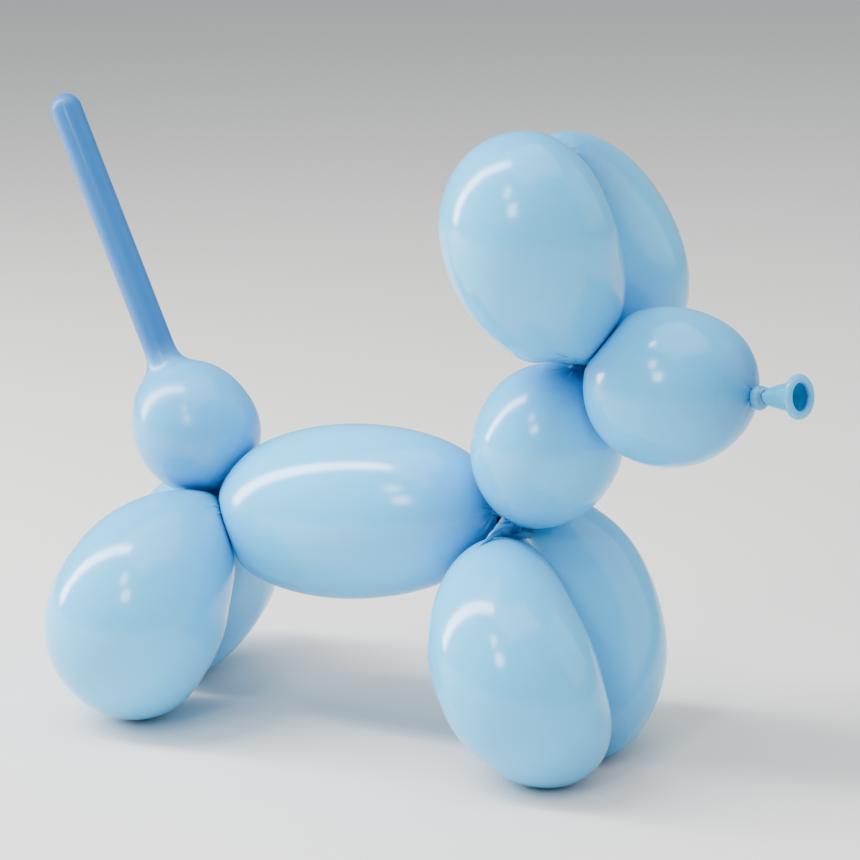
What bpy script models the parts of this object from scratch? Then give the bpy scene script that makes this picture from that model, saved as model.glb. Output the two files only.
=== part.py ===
"""A balloon poodle: one long modelling balloon twisted into ten bubbles.

From its mouth the balloon runs through nozzle, knot, snout, the two ears, neck,
the two front legs, body, the two hind legs and the tail bubble, and ends in the
tube that was left without air. It is one skin, sealed, so it is one solid.
+X is where the poodle looks, +Z is up, and metres are the unit.
"""

import math
from collections import namedtuple

import bmesh
import bpy
from mathutils import Matrix, Vector

# Driving sizes, in metres and degrees
HEIGHT = 0.210  # from the floor to the tops of the ears
TAIL_WIDTH = 0.0108  # the balloon's own width where no air is in it
TAIL_LENGTH = 0.100  # from the tail bubble's end to the tip
TAIL_LEAN = 24.4  # how far the tail leans back from upright
TAIL_FLARE = 0.0075  # how much the tail's radius grows as it runs into its bubble
TAIL_FLARE_RISE = 0.0105  # how far outside the bubble's end the flare starts
TAIL_FLARE_SINK = 0.0075  # how far it runs on inside the bubble
TAIL_FLARE_BLUNTNESS = 2.2  # higher keeps the flare slender for longer before it opens
TWIST_WIDTH = 0.0046  # the cord that a twist winds the skin into
TWIST_REACH = 0.007  # how far a twist's cord runs on inside each bubble
GATHER_WIDTH = 0.0040  # the lumpy end of skin left over where the front twist was locked
FOOT_PRESS = 0.0004  # how far a foot is pressed flat on the floor
KNOT_WIDTH = 0.0078
KNOT_ROLL = 0.0040  # thickness of the skin rolled round the knot
KNOT_LOOP_WIDTH = 0.0061  # the thinner roll that lies aslant on the first
KNOT_LOOP_ROLL = 0.0022
KNOT_LOOP_SLANT = 24.0
NOZZLE_LENGTH = 0.0130  # from the knot to the middle of the lip
NOZZLE_NECK = 0.0034  # width of the nozzle where it leaves the knot
NOZZLE_BELL = 0.0104  # its width where the lip is rolled on
NOZZLE_TRUMPET = 0.6  # 1 makes the nozzle a plain cone, more a trumpet, less a cup
NOZZLE_WALL = 0.0006
NOZZLE_RISE = 8.5  # how far the nozzle points up from level
NOZZLE_TURN = -14.0  # and how far it turns to the poodle's right
NECK_CORD_REACH = 0.001  # how far the cord under the knot runs on into the nozzle
LIP_WIDTH = 0.0142
LIP_BEAD = 0.0029  # thickness of the rolled lip
LIP_INSIDE = 195.0  # where, round its section, the lip's bead leaves the inside of the mouth
LIP_OUTSIDE = -15.0  # and where it meets the outside of the nozzle
MOUTH_DEPTH = 0.0080  # from the middle of the lip down to where the knot shuts the mouth

# Facets
BUBBLE_SIDES = 26
BUBBLE_RINGS = 15
TAIL_SIDES = 16
TAIL_FLARE_RINGS = 9
TAIL_TIP_RINGS = 6
NOZZLE_SIDES = 20
NOZZLE_RINGS = 5
LIP_RINGS = 9
NOZZLE_RING_INSET = 0.4  # of a ring's spacing, which keeps the rings clear of the lip's bead
KNOT_STEPS = 18
KNOT_STEP_TURN = 0.3  # of a facet, which keeps the corners of roll, loop and nozzle apart
ROLL_SIDES = 10
CORD_SIDES = 8
STANDING_PASSES = 4  # each brings a foot closer to its place on the floor
FLOOR_SPAN = 3.0  # width of the block under the floor, in heights of the poodle
SHARP_ANGLE = 35.0
WELD = 1e-6
AXIS_WELD = 1e-5

LATEX_BLUE = (0.34, 0.62, 0.83, 1.0)
LATEX_ROUGHNESS = 0.28

# The pose, a free form, is in thousandths of the height. A bubble runs from one
# twist to the next and may be bent towards a third point. Its width is at its
# fullest, a low bluntness gives full shoulders, and a positive lead puts the
# fullest place nearer to its end.
Bubble = namedtuple("Bubble", "start bend end width bluntness lead")
POSE = {
    "snout": Bubble((286, -6, 605), None, (550, -8, 616), 242, 0.46, -0.03),
    "right_ear": Bubble((273, 35, 640), (209, -205, 845), (240, -40, 950), 270, 0.46, 0.18),
    "left_ear": Bubble((283, 51, 608), (176, 248, 793), (240, -40, 950), 270, 0.45, -0.24),
    "neck": Bubble((155, 4, 366), None, (249, 7, 618), 235, 0.56, 0.05),
    "right_front_leg": Bubble((130, 9, 310), (246, -278, 167), (309, -56, 44), 253, 0.41, 0.0),
    "left_front_leg": Bubble((126, 24, 377), (198, 249, 187), (309, -56, 44), 256, 0.46, 0.05),
    "body": Bubble((-380, 4, 314), None, (115, 0, 380), 282, 0.42, -0.04),
    "right_hind_leg": Bubble((-407, -6, 319), (-448, -354, 146), (-456, -39, 55), 289, 0.51, -0.11),
    "left_hind_leg": Bubble((-393, 11, 317), (-645, 312, 150), (-456, -39, 55), 270, 0.50, -0.08),
    "tail_bubble": Bubble((-384, 7, 351), None, (-496, 0, 550), 208, 0.54, -0.03),
}
LEGS = ("right_front_leg", "left_front_leg", "right_hind_leg", "left_hind_leg")
NECK_OF_BALLOON = (553, -8, 611)  # where the knotted end leaves the snout

# The twists, in the order in which the balloon runs through them
TWISTS = (
    ("snout", "start", "right_ear", "start"),
    ("right_ear", "end", "left_ear", "end"),
    ("left_ear", "start", "neck", "end"),
    ("neck", "start", "right_front_leg", "start"),
    ("right_front_leg", "end", "left_front_leg", "end"),
    ("left_front_leg", "start", "body", "end"),
    ("body", "start", "right_hind_leg", "start"),
    ("right_hind_leg", "end", "left_hind_leg", "end"),
    ("left_hind_leg", "start", "tail_bubble", "start"),
)


# The front gather's middle line, out of the twist and down over the right front
# leg, each point with its share of the gather's width
FRONT_GATHER = (
    ((172, -15, 384), 1.0),
    ((160, -48, 378), 1.0),
    ((152, -57, 368), 0.9),
    ((149, -71, 360), 0.6),
    ((144, -87, 351), 0.45),
    ((138, -102, 343), 0.25),
)


def clear_scene():
    for obj in list(bpy.data.objects):
        bpy.data.objects.remove(obj, do_unlink=True)


def new_collection(name):
    collection = bpy.data.collections.new(name)
    bpy.context.scene.collection.children.link(collection)
    return collection


def latex():
    material = bpy.data.materials.new("pale blue latex")
    material.use_nodes = True
    shader = material.node_tree.nodes["Principled BSDF"]
    shader.inputs["Base Color"].default_value = LATEX_BLUE
    shader.inputs["Roughness"].default_value = LATEX_ROUGHNESS
    shader.inputs["Metallic"].default_value = 0.0
    return material


def helper(name, mesh, collection, matrix=None):
    """An object that the balloon is joined from or cut with."""
    obj = bpy.data.objects.new(name, mesh)
    obj.matrix_world = matrix or Matrix()
    obj.hide_render = True
    obj.display_type = "WIRE"
    collection.objects.link(obj)
    return obj


def place(shares):
    return Vector(shares) * HEIGHT / 1000


def taper(t, bluntness, lead):
    """Width of a bubble at t, from 0 at one twist to 1 at the next, as a share of its width."""
    return (4 * t * (1 - t)) ** bluntness * (1 + lead * (2 * t - 1))


def spine(bubble, drop=0.0):
    """A bubble's middle line, with its free end lowered by drop."""
    lowered = Vector((0, 0, -drop))
    start = place(bubble.start)
    end = place(bubble.end) + lowered
    bend = (start + end) / 2 if bubble.bend is None else place(bubble.bend) + lowered
    points = []
    for ring in range(BUBBLE_RINGS):
        t = 0.5 - 0.5 * math.cos(math.pi * ring / (BUBBLE_RINGS - 1))
        middle = start * (1 - t) ** 2 + bend * 2 * t * (1 - t) + end * t**2
        points.append((middle, taper(t, bubble.bluntness, bubble.lead)))
    return points


def sweep(points, radius, sides):
    """The mesh of a round tube along points, each with its share of the radius."""
    curve = bpy.data.curves.new("sweep", "CURVE")
    curve.dimensions = "3D"
    curve.use_fill_caps = True
    curve.bevel_resolution = (sides - 4) // 2
    # The flats of a ring lie on the true circle, so its corners stand a little outside it.
    curve.bevel_depth = radius / math.cos(math.pi / sides)
    spline = curve.splines.new("POLY")
    spline.points.add(len(points) - 1)
    for corner, (middle, share) in zip(spline.points, points):
        corner.co = (*middle, 1)
        corner.radius = share
    guide = bpy.data.objects.new("sweep", curve)
    bpy.context.scene.collection.objects.link(guide)
    graph = bpy.context.evaluated_depsgraph_get()
    mesh = bpy.data.meshes.new_from_object(guide.evaluated_get(graph))
    bpy.data.objects.remove(guide, do_unlink=True)
    bpy.data.curves.remove(curve)
    form = bmesh.new()
    form.from_mesh(mesh)
    bmesh.ops.remove_doubles(form, verts=form.verts, dist=WELD)
    bmesh.ops.recalc_face_normals(form, faces=form.faces)
    form.to_mesh(mesh)
    form.free()
    return mesh


def blown(points, radius):
    """A bubble's mesh: air leaves no hollow in a skin, so it is the convex form round its rings."""
    mesh = sweep(points, radius, BUBBLE_SIDES)
    form = bmesh.new()
    for corner in mesh.vertices:
        form.verts.new(corner.co)
    bmesh.ops.convex_hull(form, input=form.verts)
    inside = [corner for corner in form.verts if not corner.link_faces]
    bmesh.ops.delete(form, geom=inside, context="VERTS")
    bmesh.ops.recalc_face_normals(form, faces=form.faces)
    form.to_mesh(mesh)
    form.free()
    return mesh


def lowest(mesh):
    return min(corner.co.z for corner in mesh.vertices)


def stood(bubble):
    """A leg's mesh, its free end raised or lowered until the foot presses on the floor."""
    radius = bubble.width / 2 * HEIGHT / 1000
    drop = 0.0
    for _ in range(STANDING_PASSES):
        mesh = blown(spine(bubble, drop), radius)
        drop += lowest(mesh) + FOOT_PRESS
    return mesh


def bubbles(collection):
    made = {}
    for name, bubble in POSE.items():
        radius = bubble.width / 2 * HEIGHT / 1000
        mesh = stood(bubble) if name in LEGS else blown(spine(bubble), radius)
        made[name] = helper(name, mesh, collection)
    return made


def inward(bubble, which):
    """The direction from a bubble's twist into the bubble."""
    near, far = bubble.start, bubble.end
    if which == "end":
        near, far = far, near
    return (place(bubble.bend or far) - place(near)).normalized()


def twist(first, first_end, second, second_end):
    """The cord from inside one bubble, through the twist, to inside the next."""
    one = place(getattr(POSE[first], first_end))
    two = place(getattr(POSE[second], second_end))
    route = [one + inward(POSE[first], first_end) * TWIST_REACH, one]
    if (two - one).length > WELD:
        route.append(two)
    route.append(two + inward(POSE[second], second_end) * TWIST_REACH)
    return sweep([(point, 1.0) for point in route], TWIST_WIDTH / 2, CORD_SIDES)


def front_gather():
    points = [(place(point), share) for point, share in FRONT_GATHER]
    return sweep(points, GATHER_WIDTH / 2, CORD_SIDES)


def tail():
    """The tube without air, from inside its bubble to the round tip."""
    root = place(POSE["tail_bubble"].end)
    out = -inward(POSE["tail_bubble"], "end")
    lean = math.radians(TAIL_LEAN)
    up = Vector((-math.sin(lean), 0, math.cos(lean)))
    radius = TAIL_WIDTH / 2
    flared = TAIL_FLARE_RISE + TAIL_FLARE_SINK
    points = []
    for ring in range(TAIL_FLARE_RINGS):
        left = 1 - ring / (TAIL_FLARE_RINGS - 1)
        along = TAIL_FLARE_RISE - flared * left
        turned = out.lerp(up, max(0.0, along) / TAIL_FLARE_RISE).normalized()
        # The flare is hollow-sided: its radius grows faster the nearer it is to the bubble.
        flare = TAIL_FLARE * left**TAIL_FLARE_BLUNTNESS
        points.append((root + turned * along, (radius + flare) / radius))
    points.append((root + up * TAIL_LENGTH / 2, 1.0))
    for ring in range(TAIL_TIP_RINGS):
        turn = math.pi / 2 * ring / (TAIL_TIP_RINGS - 1)
        along = TAIL_LENGTH - radius + radius * math.sin(turn)
        points.append((root + up * along, math.cos(turn)))
    return sweep(points, radius, TAIL_SIDES)


def nozzle_axis():
    """The matrix that stands a piece turned about Z on the balloon's neck, pointing forward."""
    rise = math.radians(NOZZLE_RISE)
    turn = math.radians(NOZZLE_TURN)
    root = place(NECK_OF_BALLOON)
    facing = Matrix.Rotation(turn, 4, "Z") @ Matrix.Rotation(math.pi / 2 - rise, 4, "Y")
    return Matrix.Translation(root) @ facing


def nozzle_radius(along):
    """The nozzle's outer radius, along from the knot to the lip."""
    neck = NOZZLE_NECK / 2
    bell = NOZZLE_BELL / 2
    return neck + (bell - neck) * (along / NOZZLE_LENGTH) ** NOZZLE_TRUMPET


def nozzle(collection, axis):
    """The mouthpiece: a turned shell with a rolled lip, shut by the knot at its narrow end."""
    bead = LIP_BEAD / 2
    ring = LIP_WIDTH / 2 - bead
    lip = KNOT_ROLL + NOZZLE_LENGTH
    profile = [(0.0, lip - MOUTH_DEPTH)]
    for step in range(1, NOZZLE_RINGS):
        share = (step - 1 + NOZZLE_RING_INSET) / NOZZLE_RINGS
        along = NOZZLE_LENGTH - MOUTH_DEPTH * (1 - share)
        profile.append((nozzle_radius(along) - NOZZLE_WALL, KNOT_ROLL + along))
    for step in range(LIP_RINGS):
        share = step / (LIP_RINGS - 1)
        turn = math.radians(LIP_INSIDE + (LIP_OUTSIDE - LIP_INSIDE) * share)
        profile.append((ring + bead * math.cos(turn), lip + bead * math.sin(turn)))
    for step in range(1, NOZZLE_RINGS + 1):
        share = (step + NOZZLE_RING_INSET) / (NOZZLE_RINGS + NOZZLE_RING_INSET)
        along = NOZZLE_LENGTH * (1 - share)
        profile.append((nozzle_radius(along), KNOT_ROLL + along))
    profile.append((NOZZLE_NECK / 2, KNOT_ROLL / 2))
    profile.append((0.0, KNOT_ROLL / 2))
    mesh = bpy.data.meshes.new("nozzle")
    edges = [(n, n + 1) for n in range(len(profile) - 1)]
    mesh.from_pydata([(x, 0, z) for x, z in profile], edges, [])
    turned = helper("nozzle", mesh, collection, axis)
    screw = turned.modifiers.new("turn", "SCREW")
    screw.steps = NOZZLE_SIDES
    screw.render_steps = NOZZLE_SIDES
    screw.use_merge_vertices = True
    screw.merge_threshold = AXIS_WELD
    return turned


def roll(name, collection, matrix, width, thickness):
    """Skin rolled into a ring, about the matrix's Z."""
    bpy.ops.mesh.primitive_torus_add(
        major_segments=KNOT_STEPS,
        minor_segments=ROLL_SIDES,
        major_radius=(width - thickness) / 2,
        minor_radius=thickness / 2,
    )
    ring = bpy.context.active_object
    mesh = ring.data
    bpy.data.objects.remove(ring, do_unlink=True)
    return helper(name, mesh, collection, matrix)


def knot(collection, axis):
    """The balloon's own end pulled through a loop: one fat roll and a thinner one aslant on it."""
    facet = Matrix.Rotation(math.tau / KNOT_STEPS * KNOT_STEP_TURN, 4, "Z")
    first = axis @ Matrix.Translation((0, 0, KNOT_ROLL / 2)) @ facet
    roll("knot", collection, first, KNOT_WIDTH, KNOT_ROLL)
    aslant = Matrix.Rotation(math.radians(KNOT_LOOP_SLANT), 4, "X")
    second = axis @ Matrix.Translation((0, 0, KNOT_ROLL)) @ aslant @ facet
    roll("knot_loop", collection, second, KNOT_LOOP_WIDTH, KNOT_LOOP_ROLL)


def neck_cord(axis):
    """The twist of skin under the knot, from inside the snout into the nozzle."""
    root = axis.translation
    forward = axis.to_3x3() @ Vector((0, 0, 1))
    route = [root - forward * TWIST_REACH, root, root + forward * (KNOT_ROLL + NECK_CORD_REACH)]
    return sweep([(point, 1.0) for point in route], TWIST_WIDTH / 2, CORD_SIDES)


def floor_block(collection):
    """What lies under the floor, cut off so that each foot gets its small flat."""
    bpy.ops.mesh.primitive_cube_add(size=1)
    block = bpy.context.active_object
    mesh = block.data
    bpy.data.objects.remove(block, do_unlink=True)
    span = HEIGHT * FLOOR_SPAN
    sides = Matrix.Diagonal((span, span, HEIGHT, 1))
    return helper("floor", mesh, collection, Matrix.Translation((0, 0, -HEIGHT / 2)) @ sides)


def join(obj, collection):
    union = obj.modifiers.new("join the bubbles", "BOOLEAN")
    union.operation = "UNION"
    union.solver = "EXACT"
    union.operand_type = "COLLECTION"
    union.collection = collection


def cut(obj, cutter):
    trim = obj.modifiers.new("flatten the feet", "BOOLEAN")
    trim.operation = "DIFFERENCE"
    trim.solver = "EXACT"
    trim.object = cutter


def evaluated_mesh(obj):
    bpy.context.view_layer.update()
    graph = bpy.context.evaluated_depsgraph_get()
    return bpy.data.meshes.new_from_object(obj.evaluated_get(graph))


def centred(mesh):
    """Moves the mesh so that the floor's origin is under the middle of its outline."""
    for side in (0, 1):
        values = [corner.co[side] for corner in mesh.vertices]
        shift = (max(values) + min(values)) / 2
        for corner in mesh.vertices:
            corner.co[side] -= shift


def weld(mesh):
    form = bmesh.new()
    form.from_mesh(mesh)
    bmesh.ops.dissolve_degenerate(form, edges=form.edges, dist=WELD)
    bmesh.ops.remove_doubles(form, verts=form.verts, dist=WELD)
    form.to_mesh(mesh)
    form.free()


def shade(mesh):
    mesh.shade_smooth()
    mesh.set_sharp_from_angle(angle=math.radians(SHARP_ANGLE))


def build():
    clear_scene()
    poodle = new_collection("balloon poodle")
    forms = new_collection("forms to join")
    cutters = new_collection("cutters")
    made = bubbles(forms)
    for number, ends in enumerate(TWISTS):
        helper(f"twist_{number + 1}", twist(*ends), forms)
    helper("front_gather", front_gather(), forms)
    helper("tail_tube", tail(), forms)
    axis = nozzle_axis()
    helper("neck_cord", neck_cord(axis), forms)
    nozzle(forms, axis)
    knot(forms, axis)
    body = made["body"]
    forms.objects.unlink(body)
    cutters.objects.link(body)
    join(body, forms)
    cut(body, floor_block(cutters))
    skin = evaluated_mesh(body)
    body.modifiers.clear()
    weld(skin)
    centred(skin)
    shade(skin)
    skin.materials.clear()
    skin.materials.append(latex())
    balloon = bpy.data.objects.new("balloon", skin)
    poodle.objects.link(balloon)


build()
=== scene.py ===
# %% [markdown]
# # A balloon poodle in pale blue latex
# One long modelling balloon, 2 inches across when blown, is twisted into ten bubbles. From its
# mouth it runs through the nozzle, the knot, the snout, the two ears, the neck, the two front
# legs, the body, the two hind legs and the tail bubble, and it ends in the thin tube that was
# left without air. This lesson builds its skin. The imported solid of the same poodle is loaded
# first. It is faceted and plain, so it serves as the frame that says where everything is, and
# the finer skin takes its place.

import math
from collections import namedtuple

import bmesh
import bpy
import numpy as np
from mathutils import Matrix, Quaternion, Vector
from mathutils.bvhtree import BVHTree


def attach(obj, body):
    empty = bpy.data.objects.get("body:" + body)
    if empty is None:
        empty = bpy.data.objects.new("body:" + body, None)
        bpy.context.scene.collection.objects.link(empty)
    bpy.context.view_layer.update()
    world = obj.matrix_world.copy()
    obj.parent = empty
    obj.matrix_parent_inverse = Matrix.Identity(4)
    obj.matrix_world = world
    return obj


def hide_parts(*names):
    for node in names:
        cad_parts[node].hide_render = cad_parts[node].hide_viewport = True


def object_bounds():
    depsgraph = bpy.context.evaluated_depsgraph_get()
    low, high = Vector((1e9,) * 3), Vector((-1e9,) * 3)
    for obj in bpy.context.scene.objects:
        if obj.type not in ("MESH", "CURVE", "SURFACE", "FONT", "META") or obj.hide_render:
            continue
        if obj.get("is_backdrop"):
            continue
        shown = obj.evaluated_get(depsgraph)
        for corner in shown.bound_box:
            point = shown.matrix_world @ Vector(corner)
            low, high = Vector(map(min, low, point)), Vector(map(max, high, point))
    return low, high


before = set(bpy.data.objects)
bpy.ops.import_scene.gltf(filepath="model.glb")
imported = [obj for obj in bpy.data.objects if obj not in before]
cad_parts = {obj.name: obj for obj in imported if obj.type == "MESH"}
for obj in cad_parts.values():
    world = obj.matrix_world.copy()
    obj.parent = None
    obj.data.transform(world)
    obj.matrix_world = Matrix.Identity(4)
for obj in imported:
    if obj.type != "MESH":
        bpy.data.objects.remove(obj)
solid_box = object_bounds()
print("nodes in the frame:", sorted(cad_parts))
print("size of the solid, mm:", [round(side * 1000, 1) for side in solid_box[1] - solid_box[0]])

# %% [markdown]
# ## The pose
# A balloon animal has no skeleton: its pose is where its twists are. Each bubble is given by
# the twist it starts from, the twist it ends at, and, for the ears and legs, which are bent
# double, a point that it bends towards. Lengths are in thousandths of the poodle's height, so
# that the figure scales as one. Three more numbers tell how the skin is blown: its width, its
# bluntness (low gives full shoulders) and its lead (positive puts the fullest place nearer to
# the far end).

# %% Write down the twists and the bubbles
HEIGHT = 0.210
MIDDLE = Vector((0.006618, 0.005210, 0.0))  # from the pose's own zero to the middle of the outline

Bubble = namedtuple("Bubble", "start bend end width bluntness lead")
POSE = {
    "snout": Bubble((286, -6, 605), None, (550, -8, 616), 242, 0.46, -0.03),
    "right_ear": Bubble((273, 35, 640), (209, -205, 845), (240, -40, 950), 270, 0.46, 0.18),
    "left_ear": Bubble((283, 51, 608), (176, 248, 793), (240, -40, 950), 270, 0.45, -0.24),
    "neck": Bubble((155, 4, 366), None, (249, 7, 618), 235, 0.56, 0.05),
    "right_front_leg": Bubble((130, 9, 310), (246, -278, 167), (309, -56, 44), 253, 0.41, 0.0),
    "left_front_leg": Bubble((126, 24, 377), (198, 249, 187), (309, -56, 44), 256, 0.46, 0.05),
    "body": Bubble((-380, 4, 314), None, (115, 0, 380), 282, 0.42, -0.04),
    "right_hind_leg": Bubble((-407, -6, 319), (-448, -354, 146), (-456, -39, 55), 289, 0.51, -0.11),
    "left_hind_leg": Bubble((-393, 11, 317), (-645, 312, 150), (-456, -39, 55), 270, 0.50, -0.08),
    "tail_bubble": Bubble((-384, 7, 351), None, (-496, 0, 550), 208, 0.54, -0.03),
}
LEGS = ("right_front_leg", "left_front_leg", "right_hind_leg", "left_hind_leg")
NECK_OF_BALLOON = (553, -8, 611)  # where the knotted end leaves the snout


def place(shares):
    """A point of the pose, in metres, in the frame of the solid."""
    return np.array(Vector(shares) * HEIGHT / 1000 + MIDDLE)


print(len(POSE), "bubbles")

# %% [markdown]
# ## A bubble's plain form
# Rings are swept along a bubble's middle line, which is a quadratic Bezier curve. Each ring is
# as wide as the skin is there. Where a leg is bent double its rings cut through each other on
# the inside of the bend, so the bubble is the convex hull of them all: air presses a skin out
# until no hollow is left.

# %% Sweep the rings
RINGS_SWEPT = 61
SIDES_SWEPT = 96
SIDEWAYS = (0.0, 1.0, 0.0)


def swept(bubble, drop=0.0):
    """A bubble's rings as an array (ring, side, xyz), and their middles and radii."""
    lowered = np.array((0.0, 0.0, -drop))
    start, end = place(bubble.start), place(bubble.end) + lowered
    bend = (start + end) / 2 if bubble.bend is None else place(bubble.bend) + lowered
    t = (0.5 - 0.5 * np.cos(np.linspace(0, math.pi, RINGS_SWEPT)))[:, None]
    middle = start * (1 - t) ** 2 + bend * 2 * t * (1 - t) + end * t**2
    along = (bend - start) * (1 - t) + (end - bend) * t
    along /= np.linalg.norm(along, axis=1, keepdims=True)
    side = np.cross(along, SIDEWAYS)
    side /= np.linalg.norm(side, axis=1, keepdims=True)
    other = np.cross(along, side)
    t = t[:, 0]
    fullness = (4 * t * (1 - t)).clip(0) ** bubble.bluntness * (1 + bubble.lead * (2 * t - 1))
    radius = bubble.width / 2 * HEIGHT / 1000 * fullness
    turn = np.linspace(0, math.tau, SIDES_SWEPT, endpoint=False)[None, :, None]
    ring = np.cos(turn) * side[:, None] + np.sin(turn) * other[:, None]
    return middle[:, None] + radius[:, None, None] * ring, middle, radius


full = swept(POSE["body"])[2].max() * 2
print("the body is", (full * 1000).round(1), "mm across where it is fullest")

# %% [markdown]
# ## Feet on the floor
# The real poodle settles until all four feet rest, and each foot is pressed a little flat. Here
# the two free ends of the front legs meet at one twist, and those of the hind legs at another.
# Each leg's end is let down until its lowest place is just under the floor. As the leg's form
# changes a little on the way down, this is done in a few steps.

# %% Let the feet down
FOOT_PRESS = 0.0004  # how far a foot is pressed flat
DROP_STEPS = 4


def drop_to_floor(bubble):
    """How far a leg's free end goes down until its foot presses on the floor."""
    drop = 0.0
    for _ in range(DROP_STEPS):
        drop += swept(bubble, drop)[0][..., 2].min() + FOOT_PRESS
    return drop


drops = {name: drop_to_floor(POSE[name]) if name in LEGS else 0.0 for name in POSE}
print("feet lowered by, mm:", {name: round(drops[name] * 1000, 2) for name in LEGS})

# %% [markdown]
# ## A grid whose lines run from twist to twist
# A convex hull has no order in its triangles, and a glossy skin shows every irregular facet. So
# rays are shot from the bubble's middle, and the hull only tells how far each of them goes. The
# rays are laid out like a globe's meridians and parallels, but a globe's poles lie opposite
# each other and the two twists of a bent ear don't. A stretch of the globe, the same one that
# makes stars crowd together ahead of a fast ship, brings both poles round to the twists and
# keeps the grid's cells square.

# %% Lay out the rays like a globe
ROWS = 72
SIDES = 96
STRAIGHT = 1e-3  # a squeeze below this means that the two twists lie opposite each other


class Globe:
    """The rays from a bubble's middle, with their poles at the bubble's two twists."""

    def __init__(self, middle, start, end):
        self.middle = middle
        a = (start - middle) / np.linalg.norm(start - middle)
        b = (end - middle) / np.linalg.norm(end - middle)
        self.poles = (a, b)
        self.squeeze = np.linalg.norm(a + b) / 2
        upright = (a - b) / np.linalg.norm(a - b)
        side = a + b if self.squeeze > STRAIGHT else np.cross(upright, SIDEWAYS)
        side = side - upright * (side @ upright)
        side /= np.linalg.norm(side)
        self.axes = np.stack([side, np.cross(upright, side), upright])
        self.reach = None

    def rays(self, theta, phi):
        """Directions from the globe's two angles: theta from the first twist, phi round."""
        x, y, z = np.sin(theta) * np.cos(phi), np.sin(theta) * np.sin(phi), np.cos(theta)
        v, s = self.squeeze, math.sqrt(1 - self.squeeze**2)
        bent = np.stack([x + v, y * s, z * s], -1) / (1 + v * x)[..., None]
        return bent @ self.axes

    def angles(self, rays):
        """The two angles of any directions, which is the way back from rays."""
        x, y, z = np.moveaxis(rays @ self.axes.T, -1, 0)
        v, s = self.squeeze, math.sqrt(1 - self.squeeze**2)
        under = 1 - v * x
        x, y, z = (x - v) / under, y * s / under, z * s / under
        return np.arccos(z.clip(-1, 1)), np.arctan2(y, x) % math.tau

    def reach_along(self, rays, reach=None):
        """How far the skin is along any rays, read off the grid."""
        reach = self.reach if reach is None else reach
        theta, phi = self.angles(rays)
        row, side = theta / math.pi * ROWS, phi / math.tau * SIDES
        r0 = np.minimum(np.floor(row).astype(int), ROWS - 1)
        s0 = np.floor(side).astype(int) % SIDES
        r, s = row - r0, side - np.floor(side)
        s1 = (s0 + 1) % SIDES
        low = reach[r0, s0] * (1 - s) + reach[r0, s1] * s
        high = reach[r0 + 1, s0] * (1 - s) + reach[r0 + 1, s1] * s
        return low * (1 - r) + high * r


THETA, PHI = np.meshgrid(
    np.linspace(0, math.pi, ROWS + 1),
    np.linspace(0, math.tau, SIDES, endpoint=False),
    indexing="ij",
)
print(ROWS + 1, "parallels and", SIDES, "meridians for each bubble")

# %% [markdown]
# ## Shooting the rays
# Blender's tree of faces finds where a ray meets the hull. The hull's facets would show as
# small flats, so the distances are smoothed over the grid. Smoothing alone would draw the round
# ends in, so what it took away is put back once, smoothed too.

# %% Shoot the rays
SMOOTHINGS = 30


def hull_tree(points):
    """The convex hull of some points, ready for rays."""
    form = bmesh.new()
    for point in points.reshape(-1, 3):
        form.verts.new(point)
    bmesh.ops.convex_hull(form, input=form.verts)
    tree = BVHTree.FromBMesh(form)
    form.free()
    return tree


def smoothed(reach):
    """The same distances, evened out with their neighbours on the grid."""
    for _ in range(SMOOTHINGS):
        around = (np.roll(reach, 1, 1) + np.roll(reach, -1, 1)) / 2
        reach = reach * 0.5 + around * 0.5
        inner = reach[1:-1] * 0.5 + (reach[:-2] + reach[2:]) * 0.25
        reach = np.concatenate([reach[:1], inner, reach[-1:]])
        reach[0], reach[-1] = reach[1].mean(), reach[-2].mean()
    return reach


globes = {}
for name, bubble in POSE.items():
    rings, middles, radii = swept(bubble, drops[name])
    middle = (middles * radii[:, None] ** 2).sum(0) / (radii**2).sum()
    globe = Globe(middle, middles[0], middles[-1])
    globe.grid = globe.rays(THETA, PHI)
    tree = hull_tree(rings)
    hits = [tree.ray_cast(Vector(middle), Vector(ray))[3] for ray in globe.grid.reshape(-1, 3)]
    hits = np.array(hits, float).reshape(ROWS + 1, SIDES)
    shrunk = hits - smoothed(hits)
    globe.reach = smoothed(hits + shrunk)
    globes[name] = globe
    least, most = (globe.reach.min() * 1000).round(1), (globe.reach.max() * 1000).round(1)
    print(name, "reaches", least, "to", most, "mm")

# %% [markdown]
# ## Swells
# Latex isn't quite even, and fingers stretch it more in one place than in another. So each
# bubble stands out a little here and stays back a little there, by a millimetre or two, and by
# up to four where the near ear is drawn in to its twist. Each swell has a place on the skin, a
# height in millimetres (less than 0 for a flatter place) and a spread in millimetres. Where
# swells overlap, their heights add up.

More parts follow.
